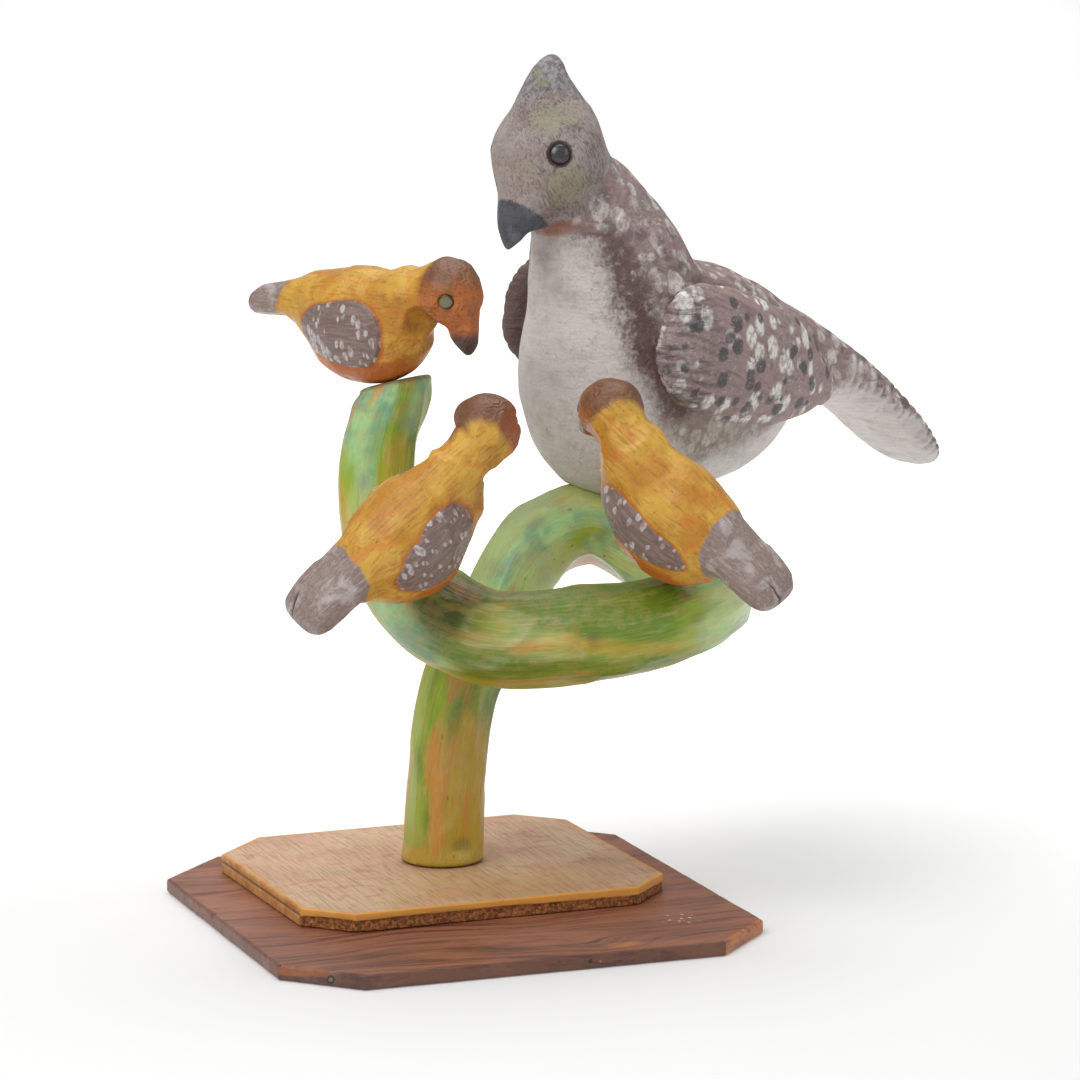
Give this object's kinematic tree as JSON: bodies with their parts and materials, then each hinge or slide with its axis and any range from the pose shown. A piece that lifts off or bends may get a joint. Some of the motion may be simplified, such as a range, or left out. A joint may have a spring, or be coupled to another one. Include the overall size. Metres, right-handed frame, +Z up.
{
  "type": "grouse carving",
  "caption": "Folk-art wooden grouse and chicks perched on a painted looping branch, fixed to a stepped two-board plinth.",
  "frame": {"origin": "centre of the lower board's underside, where the carving rests", "axes": "+X along the lower board's front edge to the right, the way the hen's tail points; +Y to the back; +Z up"},
  "size_m": [0.579, 0.3697, 0.5595],
  "materials": {
    "lower_board": "dark stained solid plank, satin, worn edges",
    "upper_board": "plywood with a pinkish tan brushed wash and ochre edges, satin",
    "branch_paint": "whittled wood with mottled lime, ochre and turquoise paint, semi-gloss",
    "hen_paint": "carved wood with mauve-brown paint, pale breast and cream and dark dabs, satin",
    "chick_paint": "carved wood with ochre and rust paint and taupe wing patches, satin",
    "hen_eye": "glossy dark bead",
    "chick_eye": "glossy olive-grey bead"
  },
  "bodies": {
    "root": {"lower_board": "lower_board", "upper_board": "upper_board", "branch": "branch_paint", "hen": "hen_paint", "hen_eye_left": "hen_eye", "hen_eye_right": "hen_eye", "chick_on_post": "chick_paint", "chick_on_post_eye_left": "chick_eye", "chick_on_post_eye_right": "chick_eye", "chick_left": "chick_paint", "chick_left_eye_left": "chick_eye", "chick_left_eye_right": "chick_eye", "chick_right": "chick_paint", "chick_right_eye_left": "chick_eye", "chick_right_eye_right": "chick_eye"}
  },
  "joints": []
}
